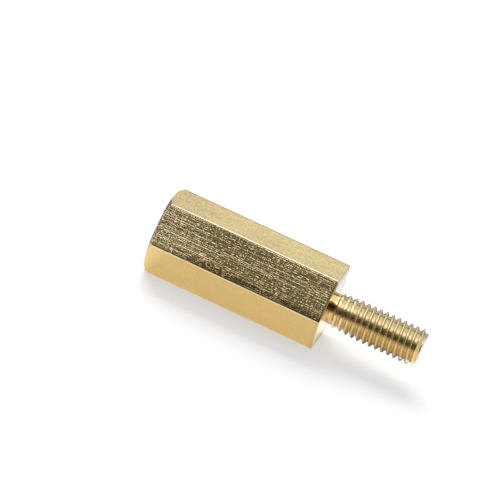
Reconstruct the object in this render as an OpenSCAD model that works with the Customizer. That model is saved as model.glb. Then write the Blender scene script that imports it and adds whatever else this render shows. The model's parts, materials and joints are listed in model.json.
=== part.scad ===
// Male-female hex standoff, turned from drawn hexagon bar.
// It lies on one flat, with its axis along X and its stud towards +X.
// The origin is on the axis, in the plane of the shoulder. Lengths are in millimetres.

/* [Thread] */
// Nominal diameter of the thread at both ends
thread_nominal_d = 3; // [2:0.5:4]
// Pitch of the thread at both ends
thread_pitch = 0.5; // [0.4:0.05:0.7]

/* [Body] */
// Width across the flats of the hexagon
hex_af = 6; // [5:0.1:13]
// Length of the hexagon, from the female end's face to the shoulder
body_len = 14; // [12:0.5:60]
// How far the broken long edges stand in from a sharp hexagon's corners
edge_break = 0.03; // [0.01:0.01:0.1]

/* [Female end] */
// How much wider the round end face is than the width across the flats
end_face_over = 0.15; // [0.05:0.05:0.4]
// Slope of the turned chamfer on the corners, from the plane of the end
end_chamfer_angle = 40; // [20:1:50]
// Depth of the hole, from the end face to the end of its straight wall
hole_depth = 9.5; // [5:0.5:10]
// How much wider the countersink is than the thread's nominal diameter
csk_over = 0.3; // [0.1:0.05:1]
// Included angle of the countersink
csk_angle = 90; // [60:5:120]
// Included angle of the drill's point
drill_point_angle = 118; // [100:1:140]

/* [Stud] */
// Length of the stud, from the shoulder to its tip
stud_len = 7.5; // [5:0.5:20]
// How much thinner the stud's crests are than the nominal diameter
stud_allowance = 0.06; // [0:0.01:0.15]
// Depth of the relief neck below the crests
neck_depth = 0.27; // [0.1:0.01:0.4]
// Length of the relief neck's straight part
neck_len = 0.45; // [0.2:0.05:1]
// Length of the cone from the neck up to the crests
lead_len = 0.35; // [0.2:0.05:1]
// Radial height of the chamfer at the tip
tip_chamfer = 0.24; // [0.1:0.01:0.5]
// Length of the chamfer at the tip
tip_chamfer_len = 0.4; // [0.2:0.05:1]

/* [Hidden] */
brass = [0.80, 0.66, 0.38];
$fn = 96;
hex_sides = 6;
// How far a cut, or a solid that is trimmed or buried, runs past the face it meets
past = 0.5;
hex_corner_r = hex_af / 2 / cos(180 / hex_sides);
body_r = hex_corner_r - edge_break;
end_face_r = (hex_af + end_face_over) / 2;
end_chamfer_len = (body_r - end_face_r) * tan(end_chamfer_angle);
// The hole is drilled to the thread's minor diameter
hole_r = (thread_nominal_d - thread_pitch) / 2;
csk_r = (thread_nominal_d + csk_over) / 2;
csk_slope = tan(csk_angle / 2);
csk_len = (csk_r - hole_r) / csk_slope;
drill_point_len = hole_r / tan(drill_point_angle / 2);
crest_r = (thread_nominal_d - stud_allowance) / 2;
neck_r = crest_r - neck_depth;
tip_r = crest_r - tip_chamfer;

// Turns a profile of [radius, place along X] about the X axis
module turned(profile) {
    rotate([0, 90, 0])
        rotate_extrude()
            polygon(profile);
}

// The bar, with corners along Y and flats facing up and down
module hex_bar() {
    translate([-body_len - past, 0, 0])
        rotate([90, 0, 90])
            linear_extrude(height = body_len + past)
                circle(r = hex_corner_r, $fn = hex_sides);
}

// What the lathe leaves of the bar: its broken edges and the female end's chamfer
module turned_envelope() {
    turned([
        [0, -body_len],
        [end_face_r, -body_len],
        [body_r, -body_len + end_chamfer_len],
        [body_r, past],
        [0, past]
    ]);
}

module body() {
    intersection() {
        hex_bar();
        turned_envelope();
    }
}

// Blind hole with its countersink and the drill's point
module tapped_hole() {
    turned([
        [0, -body_len - past],
        [csk_r + past * csk_slope, -body_len - past],
        [hole_r, -body_len + csk_len],
        [hole_r, -body_len + hole_depth],
        [0, -body_len + hole_depth + drill_point_len]
    ]);
}

// Relief neck, cone up to the crests, thread at its crests, chamfered tip
module stud() {
    turned([
        [0, -past],
        [neck_r, -past],
        [neck_r, neck_len],
        [crest_r, neck_len + lead_len],
        [crest_r, stud_len - tip_chamfer_len],
        [tip_r, stud_len],
        [0, stud_len]
    ]);
}

module standoff() {
    color(brass)
        union() {
            difference() {
                body();
                tapped_hole();
            }
            stud();
        }
}

standoff();
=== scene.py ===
"""Male-female hex standoff: the finished brass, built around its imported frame, on a plain studio stage.

Every size that the frame holds is read from it. This file adds what the frame leaves plain: both
threads, the rounded long edges, the broken edges and the finish of the drawn and the turned brass.
"""

import json
import math
from types import SimpleNamespace

import bmesh
import bpy
import numpy as np
from bpy.props import FloatProperty, FloatVectorProperty, IntProperty, PointerProperty
from mathutils import Euler, Matrix, Vector


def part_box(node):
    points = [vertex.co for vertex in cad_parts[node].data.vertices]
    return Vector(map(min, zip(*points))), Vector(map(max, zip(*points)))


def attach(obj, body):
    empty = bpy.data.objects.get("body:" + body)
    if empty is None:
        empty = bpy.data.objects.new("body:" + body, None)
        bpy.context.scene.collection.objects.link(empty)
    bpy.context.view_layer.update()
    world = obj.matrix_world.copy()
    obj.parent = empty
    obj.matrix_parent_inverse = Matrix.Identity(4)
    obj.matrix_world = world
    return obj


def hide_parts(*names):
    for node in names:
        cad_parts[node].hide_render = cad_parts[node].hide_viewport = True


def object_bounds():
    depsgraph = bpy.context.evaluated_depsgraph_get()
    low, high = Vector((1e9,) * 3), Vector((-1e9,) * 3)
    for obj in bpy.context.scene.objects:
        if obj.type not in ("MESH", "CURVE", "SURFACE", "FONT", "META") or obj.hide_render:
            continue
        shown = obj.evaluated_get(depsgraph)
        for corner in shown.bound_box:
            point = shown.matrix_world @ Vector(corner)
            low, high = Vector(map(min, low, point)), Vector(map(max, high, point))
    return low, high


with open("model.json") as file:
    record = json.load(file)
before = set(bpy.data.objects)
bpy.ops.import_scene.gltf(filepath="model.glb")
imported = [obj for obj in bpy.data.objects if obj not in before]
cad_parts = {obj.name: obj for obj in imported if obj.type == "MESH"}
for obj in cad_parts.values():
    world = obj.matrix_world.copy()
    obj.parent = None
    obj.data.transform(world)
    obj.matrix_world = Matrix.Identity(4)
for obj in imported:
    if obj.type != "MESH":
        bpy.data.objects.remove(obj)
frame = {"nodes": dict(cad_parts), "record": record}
cad_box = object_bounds()

bl_info = {
    "name": "Hex Standoff",
    "version": (1, 0, 0),
    "blender": (4, 5, 0),
    "location": "View3D > Sidebar > Standoff",
    "description": "Builds a threaded brass hex standoff on its frame, and the stage that it is shown on",
    "category": "Add Mesh",
}

MM = 0.001
NODE = "standoff"
PIECE = "finished_standoff"
HEX_SIDES = 6
# Lean of a thread's flanks, and the angle from which an edge of the mesh is shaded as sharp
FLANK_LEAN = math.radians(30)
SHARP_ANGLE = math.radians(38)
# Two places or radii nearer than this are the same
TOUCH = 0.001 * MM

# Scales of the brass's noises, in turns to the millimetre along the standoff and across it
STREAKS = (3.0, 12.0, 12.0)
LINES = (0.12, 11.5, 11.5)
SPECKLE = (10.0, 2.6, 2.6)
FLAT_PATCHES = (0.3, 0.8, 0.8)
TURNED_PATCHES = (0.9, 0.9, 0.9)
THREAD_PATCHES = (1.4, 1.4, 1.4)
THREAD_MARKS = (16.0, 2.5, 2.5)
THREAD_DENTS = (4.0, 6.5, 6.5)
# How fast the lathe's rings change along the profile, and how fast they waver round the axis
RINGS = 14.0
RING_WAVER = 0.3
# Height of the streaks between the speckle's spots and in them, of the long lines, and of a thread's dents
STREAK_HEIGHTS = (-0.8, 2.7)
LINE_HEIGHT = 1.05
DENT_HEIGHT = 6.0
# How strong the grain is between its patches and in them, and what it gains by the female end
GRAIN_SHARES = (0.54, 0.79)
GRAIN_BY_END = 0.48
# How much of their colour the scratches, the painted dark outline at the top flat's back edge and dull
# patches show
SCRATCHED_SHARE = 0.35
BACK_EDGE_SHADE_SHARE = 0.8
DULL_SHARE = 0.25
# What is added to the roughness on the grain, by the female end, and in patches of turned faces and threads
ROUGHER_GRAIN = 0.05
ROUGHER_END = 0.03
ROUGHER_TURNED = 0.08
ROUGHER_THREAD = 0.10

# The picture's side, in pixels, and Blender's usual sensor width
PICTURE_SIDE = 488
SENSOR_MM = 36
# The key's turn from straight overhead, how wide it looks, and half the soft rim of its disc, in radians
KEY_TURN = Euler((math.radians(-36), math.radians(-28), 0))
KEY_WIDTH = math.radians(45)
KEY_RIM = 0.02
# How much of the room its disc covers. It is small, so that the disc adds its light to the room's
KEY_COVER = 0.05


def read_frame():
    """The standoff's driving radii and places along its axis, in metres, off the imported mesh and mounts."""
    mounts = {mount["name"]: mount for mount in frame["record"]["mounts"]}
    corners = np.array([vertex.co for vertex in frame["nodes"][NODE].data.vertices])
    place = corners[:, 0]
    radius = np.hypot(corners[:, 1], corners[:, 2])
    low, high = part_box(NODE)

    def radii_at(x):
        return radius[abs(place - x) < TOUCH]

    def places_at(r):
        return place[abs(radius - r) < TOUCH]

    sizes = SimpleNamespace(end=low.x, tip=high.x, flat_r=high.z, edge_r=high.y)
    sizes.end_face_r = radii_at(sizes.end).max()
    sizes.csk_r = radii_at(sizes.end).min()
    sizes.chamfer_top = places_at(sizes.edge_r).min()
    sizes.bore_r = mounts["tapped_hole"]["dims"]["r_mm"] * MM
    sizes.bore_mouth = places_at(sizes.bore_r).min()
    sizes.bore_bottom = places_at(sizes.bore_r).max()
    sizes.point = place[(radius < TOUCH) & (place < 0)].max()
    sizes.neck_r = radii_at(0).min()
    sizes.neck_end = places_at(sizes.neck_r).max()
    sizes.crest_r = mounts["stud"]["dims"]["r_mm"] * MM
    sizes.crest_end = places_at(sizes.crest_r).max()
    sizes.tip_r = radii_at(sizes.tip).max()
    return sizes


cad = read_frame()


class ThreadSizes(bpy.types.PropertyGroup):
    """Both threads: the stud's and the tapped hole's."""

    pitch: FloatProperty(
        name="Pitch", description="Distance from one turn to the next", default=0.5 * MM, unit="LENGTH"
    )
    crest_share: FloatProperty(
        name="Crest share", description="Width of a crest's flat, as a share of the pitch", default=0.19
    )
    soft: FloatProperty(
        name="Softness", description="How far the corners of a crest and a root are rounded",
        default=0.03 * MM, unit="LENGTH"
    )
    tapped_length: FloatProperty(
        name="Tapped length", description="Length of thread in the hole", default=8 * MM, unit="LENGTH"
    )
    step_length: FloatProperty(
        name="Step", description="Length of the step from the neck up to the first crest",
        default=0.08 * MM, unit="LENGTH"
    )
    run_up_length: FloatProperty(
        name="Run-up", description="Length over which the stud's crests rise to full height",
        default=1.6 * MM, unit="LENGTH"
    )
    run_up_drop: FloatProperty(
        name="Run-up drop", description="How much lower the first crest is than a full one",
        default=0.13 * MM, unit="LENGTH"
    )
    start_place: FloatProperty(
        name="Start", description="Place of a crest along the axis, at the start angle",
        default=1.05 * MM, unit="LENGTH"
    )
    start_angle: FloatProperty(
        name="Start angle", description="Angle about the axis at which a crest has the start place",
        default=math.radians(65.8), subtype="ANGLE"
    )


class EdgeSizes(bpy.types.PropertyGroup):
    """Edges that the frame leaves sharp, and the mesh's steps."""

    end_break: FloatProperty(
        name="End edges", description="Width of the broken edges of the female end",
        default=0.03 * MM, unit="LENGTH"
    )
    shoulder_break: FloatProperty(
        name="Shoulder edge", description="Width of the broken edge round the shoulder",
        default=0.045 * MM, unit="LENGTH"
    )
    tip_round: FloatProperty(
        name="Tip", description="Radius of the rounding at the stud's tip", default=0.1 * MM, unit="LENGTH"
    )
    long_edge_steps: IntProperty(name="Long edge steps", description="Faces round each long edge", default=6)
    chamfer_steps: IntProperty(
        name="Chamfer steps", description="Faces along half of a chamfer's arc", default=6
    )
    flat_steps: IntProperty(name="Flat steps", description="Faces across the middle of a flat", default=8)


class BrassFinish(bpy.types.PropertyGroup):
    """Colour and texture of the brass."""

    colour: FloatVectorProperty(
        name="Brass", description="Clean brass of the turned faces",
        default=(0.88, 0.71, 0.37), subtype="COLOR"
    )
    bright_colour: FloatVectorProperty(
        name="Bright brass", description="Brass rubbed bright, between the flats' scratches",
        default=(0.92, 0.75, 0.345), subtype="COLOR"
    )
    dull_colour: FloatVectorProperty(
        name="Dull brass", description="Brass with a thin film of oxide, in fine scratches",
        default=(0.74, 0.58, 0.28), subtype="COLOR"
    )
    # Painted highlight: a paler colour on the long edges at the front
    edge_highlight_colour: FloatVectorProperty(
        name="Edges", description="Brass polished by handling, on the long edges",
        default=(0.80, 0.71, 0.48), subtype="COLOR"
    )
    crest_colour: FloatVectorProperty(
        name="Crests", description="Brass rubbed bright on a thread's crests",
        default=(0.97, 0.86, 0.52), subtype="COLOR"
    )
    groove_colour: FloatVectorProperty(
        name="Grooves", description="Brass of a thread's grooves", default=(0.82, 0.70, 0.43), subtype="COLOR"
    )
    flank_colour: FloatVectorProperty(
        name="Flanks", description="Paler brass of a thread's flanks",
        default=(0.81, 0.71, 0.51), subtype="COLOR"
    )
    scratch_colour: FloatVectorProperty(
        name="Scratched brass", description="Paler brass of the finely scratched upper flats",
        default=(0.86, 0.77, 0.59), subtype="COLOR"
    )
    # Painted shade: a dark band near the foot of the front upper flat, and a dark outline on the top flat's
    # back edge
    painted_shade_colour: FloatVectorProperty(
        name="Stain", description="Dark film beside a long edge, on the front upper flat and on the top one",
        default=(0.42, 0.33, 0.16), subtype="COLOR"
    )
    # Painted shade: a dark reflection on the front of the neck, beside the shoulder
    painted_neck_shade_colour: FloatVectorProperty(
        name="Corner film", description="Dark film in the corner between the neck and the shoulder",
        default=(0.14, 0.085, 0.02), subtype="COLOR"
    )
    drawn_roughness: FloatProperty(name="Drawn", description="Roughness of the drawn flats", default=0.15)
    turned_roughness: FloatProperty(name="Turned", description="Roughness of the turned faces", default=0.12)
    thread_roughness: FloatProperty(name="Thread", description="Roughness of the threads", default=0.17)
    grain_depth: FloatProperty(
        name="Grain depth", description="Height of the drawn grain", default=0.02 * MM, unit="LENGTH"
    )
    lathe_depth: FloatProperty(
        name="Lathe marks", description="Height of the rings on turned faces",
        default=0.0006 * MM, unit="LENGTH"
    )


class StageSettings(bpy.types.PropertyGroup):
    """Camera, floor and light."""

    azimuth: FloatProperty(
        name="Azimuth", description="How far round to the stud's side the camera stands",
        default=math.radians(7.8), subtype="ANGLE"
    )
    elevation: FloatProperty(
        name="Elevation", description="How far above the horizon the camera stands",
        default=math.radians(23.96), subtype="ANGLE"
    )
    roll: FloatProperty(
        name="Roll", description="Turn of the picture, which runs the stud down to the right",
        default=math.radians(21.7), subtype="ANGLE"
    )
    distance: FloatProperty(
        name="Distance", description="From the camera to the shoulder, along the view",
        default=250 * MM, unit="LENGTH"
    )
    pixels_per_mm: FloatProperty(
        name="Scale", description="Pixels to a millimetre at the shoulder", default=13.44
    )
    shoulder_pixel: FloatVectorProperty(
        name="Shoulder pixel", description="Where the shoulder's centre falls in the picture",
        size=2, default=(330.72, 307.22)
    )
    floor_size: FloatProperty(
        name="Floor", description="Radius of the floor", default=1.0, unit="LENGTH"
    )
    floor_colour: FloatVectorProperty(
        name="Floor", description="The floor's own white", default=(0.97, 0.93, 0.86), subtype="COLOR"
    )
    floor_seen: FloatVectorProperty(
        name="Floor seen", description="White that the camera sees in the floor beside its lit colour",
        default=(0.345, 0.380, 0.450), subtype="COLOR"
    )
    floor_seen_colour: FloatVectorProperty(
        name="Floor seen, lit", description="The floor's own colour to the camera",
        default=(0.96, 0.91, 0.81), subtype="COLOR"
    )
    floor_foot: FloatVectorProperty(
        name="Floor at the shoulder's foot",
        description="Glow that metal sees in the floor there, beside its lit colour",
        default=(0.12, 0.08, 0.05), subtype="COLOR"
    )
    floor_behind: FloatVectorProperty(
        name="Floor behind", description="The glow close behind the standoff",
        default=(0.45, 0.48, 0.56), subtype="COLOR"
    )
    floor_back: FloatVectorProperty(
        name="Floor back", description="The glow further behind", default=(0.25, 0.31, 0.50), subtype="COLOR"
    )
    floor_below: FloatVectorProperty(
        name="Floor below", description="The glow below the body, where brass throws its light on the floor",
        default=(0.54, 0.46, 0.385), subtype="COLOR"
    )
    # Painted light and shade: a darker floor below the body that only metal sees, beside its warm glow
    floor_below_colour: FloatVectorProperty(
        name="Floor below, lit", description="The floor's own colour to metal, below the body",
        default=(0.56, 0.54, 0.50), subtype="COLOR"
    )
    floor_line: FloatVectorProperty(
        name="Floor edge line",
        description="The glow further in front of the body, whose edges mirror it as a line",
        default=(0.45, 0.42, 0.40), subtype="COLOR"
    )
    floor_by_shoulder: FloatVectorProperty(
        name="Floor by the shoulder", description="The glow beside the shoulder's foot",
        default=(0.46, 0.52, 0.66), subtype="COLOR"
    )
    floor_by_neck: FloatVectorProperty(
        name="Floor below the neck", description="The glow below the neck",
        default=(0.64, 0.475, 0.305), subtype="COLOR"
    )
    floor_warm: FloatVectorProperty(
        name="Floor glow", description="The glow below the stud and further in front of it",
        default=(0.16, 0.105, 0.065), subtype="COLOR"
    )
    # Painted bounce light: warm floor colours that only metal sees, below and in front of the stud
    floor_near: FloatVectorProperty(
        name="Floor by the stud", description="The floor's own colour to metal, below the stud",
        default=(1.0, 0.86, 0.60), subtype="COLOR"
    )
    floor_middle: FloatVectorProperty(
        name="Floor in front", description="The floor's own colour to metal, further in front of the stud",
        default=(0.80, 0.66, 0.46), subtype="COLOR"
    )
    floor_far: FloatVectorProperty(
        name="Floor far in front", description="The floor's own colour to metal, where its light runs out",
        default=(0.50, 0.41, 0.31), subtype="COLOR"
    )
    back_level: FloatProperty(name="Back", description="Brightness of the wall behind", default=0.94)
    gap_level: FloatProperty(
        name="Gap", description="Brightness between the wall and the ceiling", default=0.1
    )
    horizon_level: FloatProperty(
        name="Horizon", description="Brightness of the strip at the wall's foot, and of the dark floor by it",
        default=0.3
    )
    ceiling_level: FloatProperty(name="Ceiling", description="Brightness of the soft ceiling", default=1.12)
    side_level: FloatProperty(
        name="Female side", description="Brightness on the female end's side", default=0.2
    )
    stud_side_colour: FloatVectorProperty(
        name="Stud side", description="The wall on the stud's side",
        default=(0.66, 0.60, 0.50), subtype="COLOR"
    )
    dark_colour: FloatVectorProperty(
        name="Dark side", description="The unlit side that the camera stands in, low down",
        default=(0.060, 0.040, 0.018), subtype="COLOR"
    )
    dim_colour: FloatVectorProperty(
        name="Dim side", description="The same, nearer to the soft box",
        default=(0.192, 0.172, 0.148), subtype="COLOR"
    )
    box_level: FloatProperty(name="Soft box", description="Brightness of the overhead soft box", default=1.7)
    floor_light: FloatProperty(
        name="Floor light", description="Brightness of the room for the floor", default=0.35
    )
    key_strength: FloatProperty(
        name="Key", description="Strength of the broad key light on the floor", default=1.55
    )
    key_level: FloatProperty(
        name="Key seen", description="Brightness that the key adds where metal sees it", default=0.43
    )


class Value:
    """An output of a shader node, so that maths on it reads as a Python expression."""

    def __init__(self, shader, socket):
        self.shader = shader
        self.socket = socket

    def maths(self, operation, other=0.0, first=None):
        """Math on this value and other, or on first and this value."""
        sockets = {0: self, 1: other} if first is None else {0: first, 1: self}
        return self.shader.node("ShaderNodeMath", sockets, operation=operation)

    def __add__(self, other):
        return self.maths("ADD", other)

    def __sub__(self, other):
        return self.maths("SUBTRACT", other)

    def __rsub__(self, other):
        return self.maths("SUBTRACT", first=other)

    def __mul__(self, other):
        return self.maths("MULTIPLY", other)

    def __truediv__(self, other):
        return self.maths("DIVIDE", other)

    def __rtruediv__(self, other):
        return self.maths("DIVIDE", first=other)

    __radd__ = __add__
    __rmul__ = __mul__

    def root(self):
        return self.maths("SQRT")

    def from_to(self, low, high):
        """low where this is 0, high where it is 1, and in proportion elsewhere."""
        return low + (high - low) * self

    def between(self, low, high):
        """0 at low, 1 at high, a smooth change between them, and level beyond. high may be below low."""
        ends = {"Value": self, "From Min": low, "From Max": high}
        return self.shader.node("ShaderNodeMapRange", ends, interpolation_type="SMOOTHSTEP")


class Shader:
    """The node tree of a material or of the world."""

    def __init__(self, tree):
        self.tree = tree
        tree.nodes.clear()

    def node(self, kind, sockets=None, output=0, **settings):
        """Makes one node, its settings first and then its sockets' values or links, and gives an output."""
        made = self.tree.nodes.new(kind)
        for name, value in settings.items():
            setattr(made, name, value)
        for name, value in (sockets or {}).items():
            if isinstance(value, Value):
                self.tree.links.new(value.socket, made.inputs[name])
            else:
                made.inputs[name].default_value = value
        return Value(self, made.outputs[output]) if made.outputs else None

    def axes(self, vector):
        """The three numbers of a vector."""
        split = self.node("ShaderNodeSeparateXYZ", {0: vector})
        return [Value(self, socket) for socket in split.socket.node.outputs]

    def scaled(self, vector, scale):
        return self.node("ShaderNodeVectorMath", {0: vector, 1: scale}, operation="MULTIPLY")

    def place_mm(self):
        """The place on the object, in millimetres."""
        return self.scaled(self.node("ShaderNodeTexCoord", output="Object"), (1 / MM, 1 / MM, 1 / MM))

    def ray(self, kind):
        """1 for one kind of ray, such as Camera, and 0 for the others."""
        return self.node("ShaderNodeLightPath", output=f"Is {kind} Ray")

    def noise(self, vector, scale, detail=2.0, roughness=0.5):
        """Noise from 0 to 1. scale gives its turns to the vector's unit along each axis."""
        return self.node(
            "ShaderNodeTexNoise",
            {"Vector": self.scaled(vector, scale), "Scale": 1.0, "Detail": detail, "Roughness": roughness},
        )

    def mixed_colour(self, factor, first, second):
        """A Mix node's colour. Its colour sockets have numbers, because all its types share their names."""
        return self.node("ShaderNodeMix", {0: factor, 6: first, 7: second}, output=2, data_type="RGBA")

    def mixed_shader(self, factor, first, second):
        return self.node("ShaderNodeMixShader", {0: factor, 1: first, 2: second})


def opaque(colour):
    """A property's colour as a socket takes it."""
    return (*colour, 1.0)


def brass_material(name, build):
    """A metal. build gets the shader and the place in mm, and gives colour, roughness, height and depth."""
    material = bpy.data.materials.new(name)
    material.use_nodes = True
    shader = Shader(material.node_tree)
    colour, roughness, height, full_height = build(shader, shader.place_mm())
    normal = shader.node("ShaderNodeBump", {"Height": height, "Distance": full_height, "Strength": 1.0})
    surface = shader.node(
        "ShaderNodeBsdfPrincipled",
        {"Base Color": colour, "Roughness": roughness, "Metallic": 1.0, "Normal": normal},
    )
    shader.node("ShaderNodeOutputMaterial", {"Surface": surface})
    return material


def drawn_brass(finish):
    """Flats of drawn bar: streaks cut into short marks, long lines, thin dull films, painted shade by the
    front upper flat's foot and the top flat's back edge, and a painted highlight on the front long edges.
    """
    flat_r, edge_r, end = cad.flat_r / MM, cad.edge_r / MM, cad.end / MM

    def build(shader, place):
        x, y, z = shader.axes(place)
        from_axis = (y * y + z * z).root()
        streaks = shader.noise(place, STREAKS, detail=1.0) - 0.5
        lines = shader.noise(place, LINES, detail=0.0) - 0.5
        speckle = shader.noise(place, SPECKLE, detail=0.0)
        patches = shader.noise(place, FLAT_PATCHES, detail=2.0) - 0.5

        # The grain: none on the long edges, faint on the top flat, less below, and most by the female end
        off_edges = from_axis.between(edge_r - 0.005, edge_r - 0.035)
        off_shoulder = x.between(-0.06, -0.2)
        upper_side = z.between(-0.3, 0.1).from_to(0.3, 1.0)
        off_top = z.between(flat_r - 0.01, flat_r - 0.05).from_to(0.12, 1.0)
        by_end = x.between(-8.0, end + 0.4)
        grain = patches.between(-0.2, 0.12).from_to(*GRAIN_SHARES) + GRAIN_BY_END * by_end
        rough = off_edges * off_shoulder * upper_side * off_top * grain
        marks = streaks * speckle.between(0.40, 0.60).from_to(*STREAK_HEIGHTS)
        height = (marks + lines * LINE_HEIGHT) * rough

        # A dull film in the scratches. Painted shade: a dark band along the foot of the front upper flat, and
        # a dark outline along the top flat's back edge
        film = (streaks + speckle + patches - 0.5).between(-0.4, 0.4) * upper_side
        foot_top = x.between(-13.0, -9.0).from_to(0.22, 0.44) + streaks * 0.5 + patches * 0.4
        foot = (z - foot_top).between(0.06, -0.06) * z.between(0.02, 0.08) * y.between(-2.0, -2.5)
        back_edge = y.between(1.42, 1.6) * z.between(flat_r - 0.1, flat_r - 0.05) * BACK_EDGE_SHADE_SHARE
        scratched = rough * z.between(flat_r - 0.01, flat_r - 0.1) * SCRATCHED_SHARE
        # Painted highlight: the long edges at the front take a paler colour
        painted_edge_highlight = from_axis.between(edge_r - 0.025, edge_r - 0.010) * y.between(1.2, 0.8)
        colour = shader.mixed_colour(film, opaque(finish.bright_colour), opaque(finish.dull_colour))
        colour = shader.mixed_colour(scratched, colour, opaque(finish.scratch_colour))
        # Painted shade: the dark band by the front upper flat's foot and the dark outline on the top flat's
        # back edge
        colour = shader.mixed_colour(foot + back_edge, colour, opaque(finish.painted_shade_colour))
        colour = shader.mixed_colour(painted_edge_highlight, colour, opaque(finish.edge_highlight_colour))
        roughness = finish.drawn_roughness + ROUGHER_GRAIN * rough + ROUGHER_END * by_end
        return colour, roughness, height, finish.grain_depth

    return brass_material("drawn_brass", build)


def turned_brass(finish):
    """Turned faces: fine rings about the axis, and a painted dark reflection on the neck's front beside the
    shoulder.
    """
    neck_r = cad.neck_r / MM

    def build(shader, place):
        x, y, z = shader.axes(place)
        from_axis = (y * y + z * z).root()
        along_profile = (from_axis + x) * RINGS
        unrolled = {0: along_profile, 1: y * RING_WAVER, 2: z * RING_WAVER}
        unrolled = shader.node("ShaderNodeCombineXYZ", unrolled)
        rings = shader.noise(unrolled, (1.0, 1.0, 1.0), detail=3.0, roughness=0.6)
        patches = shader.noise(place, TURNED_PATCHES)
        by_shoulder = (x + patches * 0.3 + z * 0.2).between(1.0, 0.65) * x.between(-0.01, 0.01)
        neck = by_shoulder * from_axis.between(neck_r + 0.1, neck_r + 0.02)
        front = y.between(0.0, -0.3)
        # The film is painted shade: a dark reflection on the neck's upper front, beside the shoulder
        film = neck * z.between(0.40, 0.58) * (z + x * 0.25).between(0.95, 0.86) * front
        colour = shader.mixed_colour(patches * DULL_SHARE, opaque(finish.colour), opaque(finish.dull_colour))
        colour = shader.mixed_colour(film, colour, opaque(finish.painted_neck_shade_colour))
        roughness = finish.turned_roughness + ROUGHER_TURNED * patches
        return colour, roughness, rings, finish.lathe_depth

    return brass_material("turned_brass", build)


def threaded_brass(finish, thread):
    """Cut threads: crests rubbed bright, paler flanks, fine marks along the turns and shallow dents."""
    pitch, start = thread.pitch / MM, thread.start_place / MM
    crest, foot = half_crest(thread) / MM, ridge_foot(thread) / MM

    def build(shader, place):
        x, y, z = shader.axes(place)
        marks = shader.noise(place, THREAD_MARKS, detail=3.0, roughness=0.6)
        dents = shader.noise(place, THREAD_DENTS, detail=2.0) * DENT_HEIGHT
        patches = shader.noise(place, THREAD_PATCHES)
        climbed = (z.maths("ARCTAN2", y) - thread.start_angle) / (2 * math.pi)
        turn = (x - start) / pitch - climbed
        from_ridge = ((turn + 0.5).maths("FRACT") - 0.5).maths("ABSOLUTE") * pitch
        rubbed = from_ridge.between(crest + 0.04, crest)
        flanks = from_ridge.between(crest, crest + 0.03) * from_ridge.between(foot + 0.01, foot - 0.03)
        worn = shader.mixed_colour(rubbed, opaque(finish.groove_colour), opaque(finish.crest_colour))
        paler = flanks * patches.from_to(0.7, 1.3)
        colour = shader.mixed_colour(paler, worn, opaque(finish.flank_colour))
        roughness = finish.thread_roughness + ROUGHER_THREAD * patches
        mark_height = 2 * finish.lathe_depth
        return colour, roughness, marks + dents, mark_height

    return brass_material("threaded_brass", build)


class Skin:
    """A closed surface made of rows of points round the axis. Rows meet where their points coincide."""

    def __init__(self, angles):
        self.angles = angles
        self.mesh = bmesh.new()

    def add(self, rows, material, seam=0):
        """Joins rows, each an array of (place, radius) by column, with faces of one material.

        seam is how many rows a helix climbs in one turn, and 0 for plain rings."""
        across, up = np.cos(self.angles), np.sin(self.angles)
        corners = []
        for row in rows:
            places, radii = row.T
            points = np.stack([places, radii * across, radii * up], axis=1)
            corners.append([self.mesh.verts.new(point) for point in points])
        last = len(self.angles) - 1
        for i in range(len(corners) - 1):
            lower, upper = corners[i], corners[i + 1]
            for j in range(last):
                self.face((lower[j], lower[j + 1], upper[j + 1], upper[j]), material)
            if i + seam + 1 < len(corners):
                first, second = corners[i + seam][0], corners[i + seam + 1][0]
                self.face((lower[last], first, second, upper[last]), material)

    def face(self, corners, material):
        made = self.mesh.faces.new(corners)
        made.material_index = material
        made.smooth = True

    def finish(self, name):
        """Welds the rows into one closed mesh, with its normals outwards."""
        bmesh.ops.remove_doubles(self.mesh, verts=self.mesh.verts, dist=0.5 * TOUCH)
        bmesh.ops.delete(self.mesh, geom=[v for v in self.mesh.verts if not v.link_faces], context="VERTS")
        bmesh.ops.recalc_face_normals(self.mesh, faces=self.mesh.faces)
        open_edges = [edge for edge in self.mesh.edges if not edge.is_manifold]
        if open_edges:
            raise RuntimeError(f"{name} isn't closed: {len(open_edges)} of its edges don't have two faces")
        mesh = bpy.data.meshes.new(name)
        self.mesh.to_mesh(mesh)
        self.mesh.free()
        return mesh


def long_edge():
    """Radius of the rounded long edges, and the distance from the axis to the arc's centre."""
    sharp_r = cad.flat_r / math.cos(math.pi / HEX_SIDES)
    radius = (sharp_r - cad.edge_r) / (1 / math.cos(math.pi / HEX_SIDES) - 1)
    return radius, cad.edge_r - radius


def column_angles(edges):
    """Angles of the mesh's columns, which stand closer round the long edges and along the chamfer's arcs."""
    radius, centre = long_edge()
    half_side = math.pi / HEX_SIDES
    lean = np.linspace(-half_side, half_side, edges.long_edge_steps + 1)
    edge = np.arctan2(radius * np.sin(lean), centre + radius * np.cos(lean))
    arc_end = half_side - math.acos(cad.flat_r / cad.end_face_r)
    rise = np.linspace(edge[-1], arc_end, edges.chamfer_steps + 1)[1:]
    middle = np.linspace(arc_end, 2 * half_side - arc_end, edges.flat_steps + 1)[1:-1]
    fall = (2 * half_side - rise)[::-1]
    side = np.concatenate([edge, rise, middle, fall])
    return np.concatenate([side + 2 * half_side * i for i in range(HEX_SIDES)])


def hex_radius(angles):
    """Distance from the axis to the rounded hexagon at each angle. Corners are at 0, 60 degrees and so on."""
    radius, centre = long_edge()
    half_side = math.pi / HEX_SIDES
    off_corner = abs((angles + half_side) % (2 * half_side) - half_side)
    on_flat = cad.flat_r / np.cos(half_side - off_corner)
    tangent = math.atan2(radius * math.sin(half_side), centre + radius * math.cos(half_side))
    reach = centre * np.sin(np.minimum(off_corner, tangent))
    on_edge = centre * np.cos(off_corner) + np.sqrt(radius**2 - reach**2)
    return np.where(off_corner < tangent, on_edge, on_flat)


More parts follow.
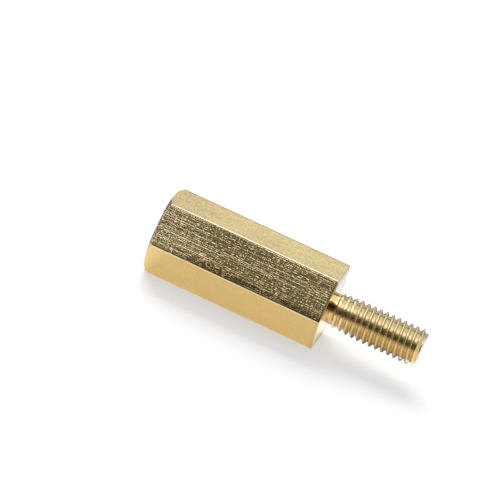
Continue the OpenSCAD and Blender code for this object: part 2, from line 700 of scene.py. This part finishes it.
def softened(before, corner, after, size, steps=3):
    """Rows that round the corner of a profile between two others, each an array of (place, radius)."""
    # Less than half, so that the roundings at both ends of a leg never meet
    most_of_leg = 0.45

    def towards(end):
        leg = end - corner
        length = np.linalg.norm(leg, axis=1, keepdims=True)
        return corner + leg / length * np.minimum(size, most_of_leg * length)

    start, stop = towards(before), towards(after)
    shares = np.linspace(0, 1, steps + 1)
    return [(1 - t) ** 2 * start + 2 * t * (1 - t) * corner + t**2 * stop for t in shares]


def depth(thread):
    """Depth of a 60 degree thread with a flat crest and root: five eighths of its sharp height."""
    return thread.pitch * 5 / 8 * math.cos(FLANK_LEAN)


def half_crest(thread):
    """Distance along the axis from a ridge's middle to the side of its crest."""
    return thread.pitch * thread.crest_share / 2


def flank(thread):
    """Distance along the axis from the side of a crest to the foot of its flank."""
    return depth(thread) * math.tan(FLANK_LEAN)


def ridge_foot(thread):
    """Distance along the axis from a ridge's middle to the foot of its flank."""
    return half_crest(thread) + flank(thread)


def ridge(distance, thread):
    """Height of a thread's ridge, from 0 to 1, at a distance along the axis from its middle.

    It is the mean of a few places close together, which rounds the ridge's corners."""
    spread = np.array([-1, -0.5, 0, 0.5, 1]) * thread.soft
    near = abs(distance[..., None] + spread)
    return np.clip((ridge_foot(thread) - near) / flank(thread), 0, 1).mean(axis=-1)


def helix(angles, thread, start, end, radius_at):
    """Rows that follow the thread from start to end, and how many of them it climbs in one turn.

    radius_at gives the radius from the place and the distance to the nearest ridge. A turn or more is
    made beyond each end, and its rows are laid on that end."""
    bends = [b + s * thread.soft for b in (half_crest(thread), ridge_foot(thread)) for s in (-1, 0, 1)]
    offsets = np.array([0, *bends, thread.pitch / 2, *[thread.pitch - bend for bend in bends[::-1]]])
    middle = thread.start_place + thread.pitch * (angles - thread.start_angle) / (2 * math.pi)
    first = math.floor((start - middle[0]) / thread.pitch) - 1
    count = math.ceil((end - start) / thread.pitch) + 3
    rows = []
    for turn in range(first, first + count):
        for offset in offsets:
            place = np.clip(middle + thread.pitch * turn + offset, start, end)
            from_ridge = (place - middle + thread.pitch / 2) % thread.pitch - thread.pitch / 2
            rows.append(np.stack([place, radius_at(place, from_ridge)], axis=1))
    return rows, len(offsets)


def ring(place, radius, count):
    return np.broadcast_to(np.array([place, radius], float), (count, 2))


DRAWN, TURNED, THREADED = range(3)


def add_hole(skin, thread):
    """The drill's point, the plain end of the hole, and the tapped length with its countersink."""
    tap_end = cad.end + thread.tapped_length
    count = len(skin.angles)
    point = ring(cad.point, 0, count)
    plain_hole = [ring(place, cad.bore_r, count) for place in (cad.bore_bottom, tap_end)]
    skin.add([point, *plain_hole], TURNED)

    def radius_at(place, from_ridge):
        fade = np.clip((tap_end - place) / thread.pitch, 0, 1)
        groove = cad.bore_r + depth(thread) * fade * ridge(from_ridge, thread)
        return np.maximum(groove, np.interp(place, [cad.end, cad.bore_mouth], [cad.csk_r, cad.bore_r]))

    rows, climb = helix(skin.angles, thread, cad.end, tap_end, radius_at)
    skin.add(rows, THREADED, climb)


def add_body(skin, edges):
    """The female end's face and chamfer, the flats with their rounded edges, and the shoulder."""
    count = len(skin.angles)
    outline = hex_radius(skin.angles)
    chamfer_slope = (cad.chamfer_top - cad.end) / (cad.edge_r - cad.end_face_r)
    face_r = np.minimum(outline - edges.end_break, cad.end_face_r)
    rise = np.maximum(edges.end_break, (outline - cad.end_face_r) * chamfer_slope)
    rounding = edges.end_break / 3
    mouth = ring(cad.end, cad.csk_r, count)
    face_edge = np.stack([np.full(count, cad.end), face_r], axis=1)
    chamfer_edge = np.stack([cad.end + rise, outline], axis=1)
    shoulder_edge = np.stack([np.zeros(count), outline], axis=1)
    neck_foot = ring(0, cad.neck_r, count)
    end_rows = softened(mouth, face_edge, chamfer_edge, rounding)
    top_rows = softened(face_edge, chamfer_edge, shoulder_edge, rounding)
    shoulder_rows = softened(chamfer_edge, shoulder_edge, neck_foot, edges.shoulder_break, steps=4)
    skin.add([mouth, *end_rows], TURNED)
    skin.add([end_rows[-1], *top_rows, shoulder_rows[0]], DRAWN)
    skin.add([*shoulder_rows, neck_foot], TURNED)


def add_stud(skin, thread, edges):
    """The relief neck, the thread with its run-up, and the chamfered tip.

    The blank is the stud as it is turned, before its thread is cut."""
    count = len(skin.angles)
    root_r = cad.crest_r - depth(thread)
    step_end = cad.neck_end + thread.step_length
    quarter = np.linspace(0, math.pi / 2, 5)
    blank_places = [cad.neck_end, step_end, step_end + thread.run_up_length, cad.crest_end]
    blank_radii = [cad.neck_r, cad.crest_r - thread.run_up_drop, cad.crest_r, cad.crest_r]
    blank_places += [cad.tip - edges.tip_round * (1 - t) for t in np.sin(quarter)]
    blank_radii += [cad.tip_r - edges.tip_round * (1 - t) for t in np.cos(quarter)]

    def radius_at(place, from_ridge):
        turned = np.interp(place, blank_places, blank_radii)
        return np.minimum(turned, root_r + depth(thread) * ridge(from_ridge, thread))

    rows, climb = helix(skin.angles, thread, cad.neck_end, cad.tip, radius_at)
    tip_inner = ring(cad.tip, min(root_r, cad.tip_r - edges.tip_round) - edges.end_break, count)
    skin.add([ring(0, cad.neck_r, count), rows[0]], TURNED)
    skin.add(rows, THREADED, climb)
    skin.add([rows[-1], tip_inner, ring(cad.tip, 0, count)], TURNED)


class STANDOFF_OT_make_brass(bpy.types.Operator):
    """Builds the finished standoff, one closed piece of brass, in place of the frame's plain one"""

    bl_idname = "standoff.make_brass"
    bl_label = "Make the standoff"

    def execute(self, context):
        scene = context.scene
        thread, edges, finish = scene.standoff_thread, scene.standoff_edges, scene.standoff_finish
        skin = Skin(column_angles(edges))
        add_hole(skin, thread)
        add_body(skin, edges)
        add_stud(skin, thread, edges)
        mesh = skin.finish(PIECE)
        for material in (drawn_brass(finish), turned_brass(finish), threaded_brass(finish, thread)):
            mesh.materials.append(material)
        mesh.set_sharp_from_angle(angle=SHARP_ANGLE)
        piece = bpy.data.objects.new(PIECE, mesh)
        scene.collection.objects.link(piece)
        weighted = piece.modifiers.new("even_shading", "WEIGHTED_NORMAL")
        weighted.keep_sharp = True
        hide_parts(NODE)
        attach(piece, "root")
        return {"FINISHED"}


def make_camera(stage):
    """A long lens that sees the standoff with its stud down to the right."""
    turn, rise = -stage.azimuth, stage.elevation
    ahead = Vector((math.sin(turn) * math.cos(rise), math.cos(turn) * math.cos(rise), -math.sin(rise)))
    level = ahead.cross(Vector((0, 0, 1))).normalized()
    right = Matrix.Rotation(-stage.roll, 3, ahead) @ level
    up = right.cross(ahead)
    focal_pixels = stage.pixels_per_mm * stage.distance / MM
    across = (stage.shoulder_pixel[0] - PICTURE_SIDE / 2) / focal_pixels
    down = (stage.shoulder_pixel[1] - PICTURE_SIDE / 2) / focal_pixels
    data = bpy.data.cameras.new("camera")
    data.sensor_width = SENSOR_MM
    data.lens = focal_pixels / PICTURE_SIDE * SENSOR_MM
    data.clip_start, data.clip_end = stage.distance / 20, 4 * stage.floor_size
    camera = bpy.data.objects.new("camera", data)
    place = -stage.distance * (ahead + across * right - down * up)
    axes = Matrix((right, up, -ahead)).transposed().to_4x4()
    camera.matrix_world = Matrix.Translation(place) @ axes
    bpy.context.scene.collection.objects.link(camera)
    bpy.context.scene.camera = camera


def make_floor(stage):
    """A plain white disc that keeps the standoff's shadow. Metal sees it in other whites, greys and browns.

    The masks are in millimetres from the shoulder's middle: x runs to the tip, and y away from the camera."""
    material = bpy.data.materials.new("floor")
    material.use_nodes = True
    shader = Shader(material.node_tree)
    x, y = shader.axes(shader.place_mm())[:2]

    def lit(colour):
        return shader.node("ShaderNodeBsdfDiffuse", {"Color": opaque(colour)})

    def with_glow(surface, colour):
        glow = shader.node("ShaderNodeEmission", {"Color": opaque(colour), "Strength": 1.0})
        return shader.node("ShaderNodeAddShader", {0: surface, 1: glow})

    plain = lit(stage.floor_colour)

    # The part behind is lit behind the neck and past the tip only, and dark far away
    dark = lit([stage.horizon_level] * 3)
    near, further = with_glow(plain, stage.floor_behind), with_glow(plain, stage.floor_back)
    further_behind = y.between(2.0, 11.0)
    behind = shader.mixed_shader(further_behind, near, further)
    behind_stud = x.between(2.0, 2.9) * x.between(7.9, 7.6)
    behind_body = x.between(-0.4, -1.0)
    far_behind = y.between(14.0, 24.0)
    for unlit in (behind_stud, behind_body, far_behind):
        behind = shader.mixed_shader(unlit, behind, dark)

    # The part in front has a near and a further colour by the body, and by the stud: painted warm bounce
    # light by the stud, and a darker floor with a warm glow below the body
    before_body, before_stud = y.between(-4.2, -5.6), y.between(-4.0, -7.5)
    near = with_glow(lit(stage.floor_below_colour), stage.floor_below)
    by_body = shader.mixed_shader(before_body, near, with_glow(plain, stage.floor_line))
    near = with_glow(lit(stage.floor_near), stage.floor_warm)
    further = with_glow(lit(stage.floor_middle), stage.floor_warm)
    by_stud = shader.mixed_shader(before_stud, near, further)
    stud_side = x.between(-0.6, 0.4)
    front = shader.mixed_shader(stud_side, by_body, by_stud)
    far_in_front = y.between(-8.0, -18.0)
    front = shader.mixed_shader(far_in_front, front, lit(stage.floor_far))
    in_front = y.between(1.0, -1.5)
    mirrored = shader.mixed_shader(in_front, behind, front)

    # Two patches just past the shoulder: below the neck, and along the shoulder from its foot outwards
    past_shoulder, off_foot = x.between(-0.3, 0.1), x.between(0.0, 0.2)
    below_neck = past_shoulder * x.between(1.0, 0.6) * y.between(-6.0, -4.5) * y.between(-0.5, -2.0)
    mirrored = shader.mixed_shader(below_neck, mirrored, with_glow(plain, stage.floor_by_neck))
    foot, beside = with_glow(plain, stage.floor_foot), with_glow(plain, stage.floor_by_shoulder)
    foot_and_beside = shader.mixed_shader(off_foot, foot, beside)
    by_shoulder = past_shoulder * x.between(1.1, 0.7) * y.between(-3.2, -2.2) * y.between(3.0, 1.5)
    mirrored = shader.mixed_shader(by_shoulder, mirrored, foot_and_beside)

    unseen = shader.mixed_shader(shader.ray("Glossy"), plain, mirrored)
    seen = with_glow(lit(stage.floor_seen_colour), stage.floor_seen)
    surface = shader.mixed_shader(shader.ray("Camera"), unseen, seen)
    shader.node("ShaderNodeOutputMaterial", {"Surface": surface})
    form = bmesh.new()
    bmesh.ops.create_circle(form, cap_ends=True, segments=64, radius=stage.floor_size)
    mesh = bpy.data.meshes.new("floor")
    form.to_mesh(mesh)
    form.free()
    mesh.materials.append(material)
    floor = bpy.data.objects.new("floor", mesh)
    floor.location.z = cad_box[0].z - TOUCH
    bpy.context.scene.collection.objects.link(floor)


def make_room(stage):
    """The room that metal sees, one even light for the floor, and plain white for the camera.

    Metal sees a white wall behind, with a dim strip at its foot and a dark gap above it, duller sides, an
    unlit side where the camera stands, a soft box in a soft ceiling, and the key's disc. A mask's numbers
    are parts of 1: z is 0 at the horizon and 1 overhead, and a side is 1 straight towards it."""
    world = bpy.data.worlds.new("room")
    bpy.context.scene.world = world
    world.use_nodes = True
    shader = Shader(world.node_tree)
    x, y, z = shader.axes(shader.node("ShaderNodeTexCoord", output="Generated"))
    level = (x * x + y * y).root()
    stud_side, back = x / level, y / level
    camera_side = back * -1.0

    def glow(strength, colour=(1.0, 1.0, 1.0)):
        return shader.node("ShaderNodeBackground", {"Color": opaque(colour), "Strength": strength})

    # The back. On its left the gap ends and the ceiling starts higher up
    wall = glow(stage.back_level)
    back_left = stud_side.between(-0.3, -0.6) * back.between(0.15, 0.45)
    high = z - back_left * 0.15
    gap, above_gap, strip = z.between(0.44, 0.49), high.between(0.70, 0.82), z.between(0.26, 0.16)
    room = shader.mixed_shader(gap, wall, glow(stage.gap_level))
    room = shader.mixed_shader(above_gap, room, wall)
    room = shader.mixed_shader(strip, room, glow(stage.horizon_level))

    # The sides and the camera's side
    past_middle = stud_side.between(0.0, 0.4)
    sides = shader.mixed_shader(past_middle, glow(stage.side_level), glow(1.0, stage.stud_side_colour))
    room = shader.mixed_shader(1.0 - back.between(0.65, 0.85), room, sides)
    below_box = z.between(0.46, 0.62)
    unlit = shader.mixed_shader(below_box, glow(1.0, stage.dark_colour), glow(1.0, stage.dim_colour))
    room = shader.mixed_shader(camera_side.between(0.45, 0.65), room, unlit)

    # Overhead
    ceiling = high.between(0.76, 0.88)
    room = shader.mixed_shader(ceiling, room, glow(stage.ceiling_level))
    soft_box = camera_side.between(0.40, 0.55) * z.between(0.73, 0.83) * z.between(0.99, 0.97)
    room = shader.mixed_shader(soft_box, room, glow(stage.box_level))
    aim = KEY_TURN.to_matrix() @ Vector((0, 0, 1))
    towards_key = x * aim.x + y * aim.y + z * aim.z
    rim, inside = math.cos(KEY_WIDTH / 2 + KEY_RIM), math.cos(KEY_WIDTH / 2 - KEY_RIM)
    disc = towards_key.between(rim, inside) * KEY_COVER
    room = shader.mixed_shader(disc, room, glow(stage.key_level / KEY_COVER))

    room = shader.mixed_shader(shader.ray("Diffuse"), room, glow(stage.floor_light))
    room = shader.mixed_shader(shader.ray("Camera"), room, glow(1.0))
    shader.node("ShaderNodeOutputWorld", {"Surface": room})


def make_key(stage):
    """One broad light from behind, on the female end's side, that gives the floor its shadow.

    Metal sees the room's disc in its place."""
    data = bpy.data.lights.new("key", "SUN")
    data.energy = stage.key_strength
    data.angle = KEY_WIDTH
    key = bpy.data.objects.new("key", data)
    key.rotation_euler = KEY_TURN
    key.visible_glossy = False
    bpy.context.scene.collection.objects.link(key)


class STANDOFF_OT_set_stage(bpy.types.Operator):
    """Sets the camera, the white floor and the plain soft light"""

    bl_idname = "standoff.set_stage"
    bl_label = "Set the stage"

    def execute(self, context):
        scene = context.scene
        scene.view_settings.view_transform = "Standard"
        make_camera(scene.standoff_stage)
        make_floor(scene.standoff_stage)
        make_room(scene.standoff_stage)
        make_key(scene.standoff_stage)
        return {"FINISHED"}


class STANDOFF_PT_panel(bpy.types.Panel):
    """Lists the standoff's operators and settings in the sidebar"""

    bl_idname = "STANDOFF_PT_panel"
    bl_label = "Standoff"
    bl_space_type = "VIEW_3D"
    bl_region_type = "UI"
    bl_category = "Standoff"

    def draw(self, context):
        for operator in (STANDOFF_OT_make_brass, STANDOFF_OT_set_stage):
            self.layout.operator(operator.bl_idname)
        for name, group in SETTINGS.items():
            settings = getattr(context.scene, name)
            box = self.layout.box()
            for field in group.__annotations__:
                box.prop(settings, field)


SETTINGS = {
    "standoff_thread": ThreadSizes,
    "standoff_edges": EdgeSizes,
    "standoff_finish": BrassFinish,
    "standoff_stage": StageSettings,
}
CLASSES = (*SETTINGS.values(), STANDOFF_OT_make_brass, STANDOFF_OT_set_stage, STANDOFF_PT_panel)


def register():
    for made in CLASSES:
        bpy.utils.register_class(made)
    for name, group in SETTINGS.items():
        setattr(bpy.types.Scene, name, PointerProperty(type=group))


def unregister():
    for name in SETTINGS:
        delattr(bpy.types.Scene, name)
    for made in reversed(CLASSES):
        bpy.utils.unregister_class(made)


def main():
    register()
    bpy.ops.standoff.make_brass()
    bpy.ops.standoff.set_stage()


if __name__ == "__main__":
    main()
